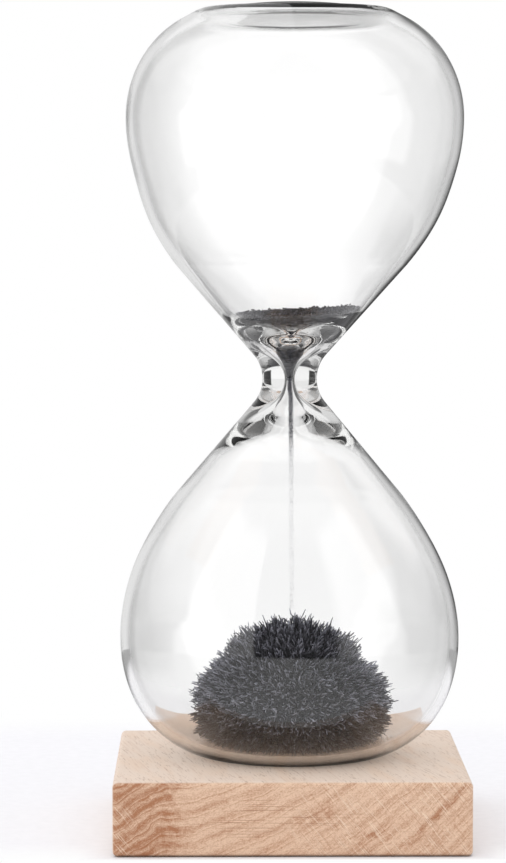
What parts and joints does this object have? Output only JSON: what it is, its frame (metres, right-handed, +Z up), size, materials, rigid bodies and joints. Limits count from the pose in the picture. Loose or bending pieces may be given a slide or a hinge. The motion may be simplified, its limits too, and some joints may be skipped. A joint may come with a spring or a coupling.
{
  "type": "magnetic hourglass",
  "caption": "Sealed glass hourglass with iron powder, standing loose on a square beech block whose hidden magnet pulls the fallen powder up into a spiky pile.",
  "frame": {"origin": "middle of the beech block's underside, where it stands on the table", "axes": "+Z up along the glass's axis, -Y towards the viewer, +X to the viewer's right"},
  "size_m": [0.06, 0.06, 0.1429],
  "materials": {
    "beech": "sanded, unvarnished",
    "plug_wood": "sanded, unvarnished",
    "ferrite": "matt, ground flat",
    "clear_glass": "clear, fire polished",
    "iron_powder": "loose dark grains"
  },
  "bodies": {
    "base": {"base_block": "beech", "magnet": "ferrite", "pocket_plug": "plug_wood"},
    "throat": {"throat_clump": "iron_powder"},
    "glass": {"lower_bulb": "clear_glass", "neck": "clear_glass", "upper_bulb": "clear_glass", "upper_charge": "iron_powder", "powder_stream": "iron_powder", "powder_pile": "iron_powder"}
  },
  "joints": [
    {"name": "lift_off", "type": "slide", "parent": "base", "child": "throat", "axis": [0, 0, 1], "range_m": [0, 0.06]},
    {"name": "turn_over", "type": "hinge", "parent": "throat", "child": "glass", "pos_m": [0, 0, 0.0781], "axis": [0, 1, 0], "range_deg": [0, 180]}
  ],
  "couplings": [
    {"joint": "turn_over", "follows": "lift_off", "rad_per_m": 52.36}
  ]
}
